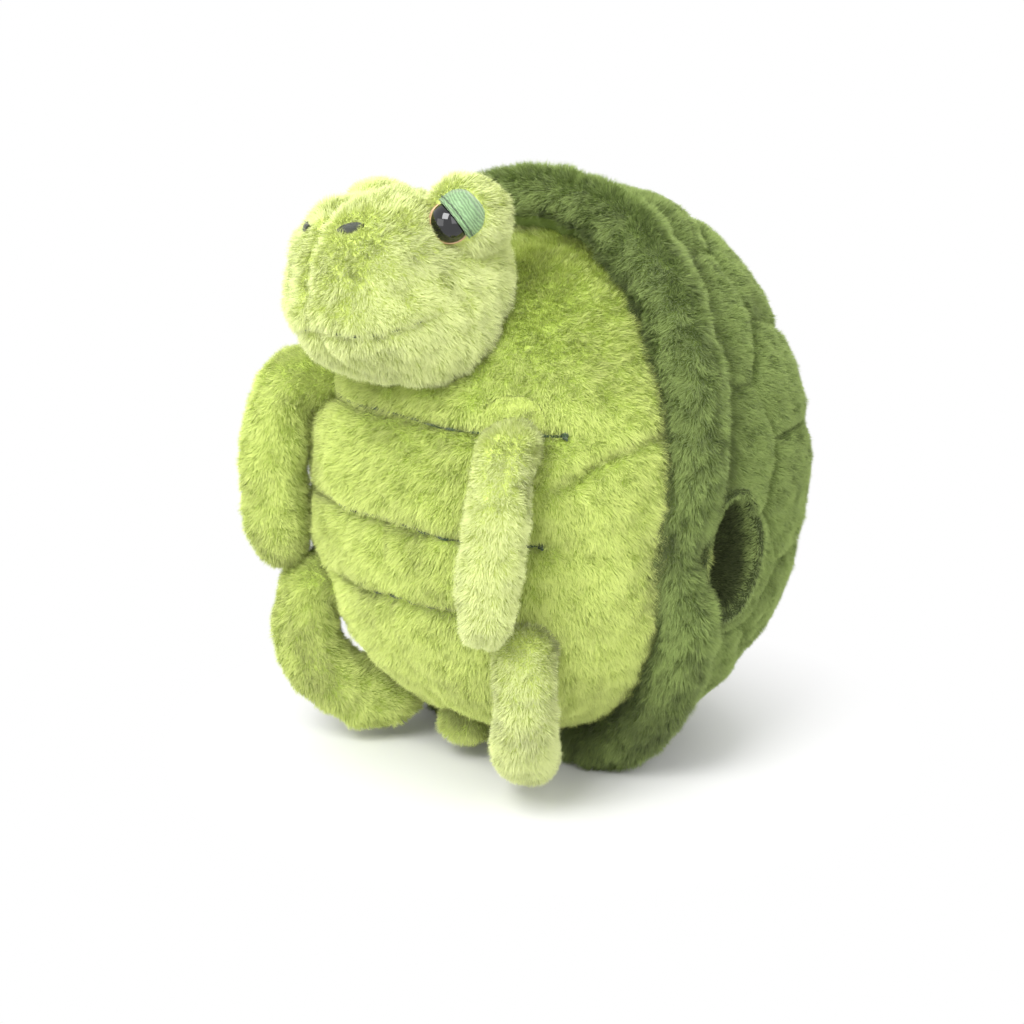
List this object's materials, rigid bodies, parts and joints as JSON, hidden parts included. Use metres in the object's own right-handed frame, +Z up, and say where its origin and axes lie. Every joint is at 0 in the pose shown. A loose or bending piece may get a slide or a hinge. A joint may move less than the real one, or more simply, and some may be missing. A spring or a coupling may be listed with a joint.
{
  "type": "plush turtle",
  "caption": "Stuffed toy turtle sitting upright, with a round belly, a quilted shell with a rolled rim, bent limbs, domed eyes and a hand pocket in each side of the shell.",
  "frame": {"origin": "on the floor, under the middle of the toy's box", "axes": "+Z up, -Y the way the toy looks, +X its left side"},
  "size_m": [0.2886, 0.3296, 0.3356],
  "materials": {
    "pile_light": "short yellow-green plush pile",
    "pile_dark": "short moss-green plush pile",
    "filling": "white polyester fibre filling",
    "satin": "sage-green satin",
    "eye_black": "glossy black",
    "iris": "glossy peach",
    "washer": "moulded white",
    "thread_dark": "dark green sewing thread",
    "nostril": "dark embroidery"
  },
  "bodies": {
    "body": {"body_stuffing": "filling", "shell_cover": "pile_dark", "shell_panel_upper": "pile_dark", "shell_panel_lower": "pile_dark", "shell_panel_left": "pile_dark", "shell_panel_right": "pile_dark", "shell_rim": "pile_dark", "belly_cover": "pile_light", "pocket_lining_left": "pile_dark", "pocket_lining_right": "pile_dark", "belly_stitching_upper": "thread_dark", "belly_stitching_middle": "thread_dark", "belly_stitching_lower": "thread_dark"},
    "head": {"head_cover": "pile_light", "head_stuffing": "filling", "mouth_stitching": "thread_dark", "eye_left": "eye_black", "eye_iris_left": "iris", "eye_washer_left": "washer", "eyelid_left": "satin", "nostril_left": "nostril", "eye_right": "eye_black", "eye_iris_right": "iris", "eye_washer_right": "washer", "eyelid_right": "satin", "nostril_right": "nostril"},
    "arm_left": {"arm_left_cover": "pile_light", "arm_left_stuffing": "filling"},
    "leg_left": {"leg_left_cover": "pile_light", "leg_left_stuffing": "filling"},
    "arm_right": {"arm_right_cover": "pile_light", "arm_right_stuffing": "filling"},
    "leg_right": {"leg_right_cover": "pile_light", "leg_right_stuffing": "filling"},
    "tail": {"tail_cover": "pile_light", "tail_stuffing": "filling"}
  },
  "joints": [
    {"name": "head_turn", "type": "hinge", "parent": "body", "child": "head", "pos_m": [0, -0.09535, 0.26094], "axis": [0, -0.662, 0.7495], "range_deg": [-25, 25], "stiffness_Nm_per_rad": 0.2},
    {"name": "arm_left_swing", "type": "hinge", "parent": "body", "child": "arm_left", "pos_m": [0.0706, -0.09467, 0.2195], "axis": [-0.7934, -0.6088, 0], "range_deg": [0, 40], "stiffness_Nm_per_rad": 0.04},
    {"name": "arm_right_swing", "type": "hinge", "parent": "body", "child": "arm_right", "pos_m": [-0.07422, -0.08804, 0.2295], "axis": [-0.7547, 0.6561, 0], "range_deg": [0, 40], "stiffness_Nm_per_rad": 0.04},
    {"name": "leg_left_swing", "type": "hinge", "parent": "body", "child": "leg_left", "pos_m": [0.0792, -0.09377, 0.098], "axis": [0.5701, -0.7331, -0.3709], "range_deg": [0, 18], "stiffness_Nm_per_rad": 0.04},
    {"name": "leg_right_swing", "type": "hinge", "parent": "body", "child": "leg_right", "pos_m": [-0.07919, -0.09376, 0.098], "axis": [0.5701, 0.733, 0.371], "range_deg": [0, 18], "stiffness_Nm_per_rad": 0.04},
    {"name": "tail_swing", "type": "hinge", "parent": "body", "child": "tail", "pos_m": [0, -0.07416, 0.0362], "axis": [-1, 0, 0], "range_deg": [0, 25], "stiffness_Nm_per_rad": 0.2}
  ]
}
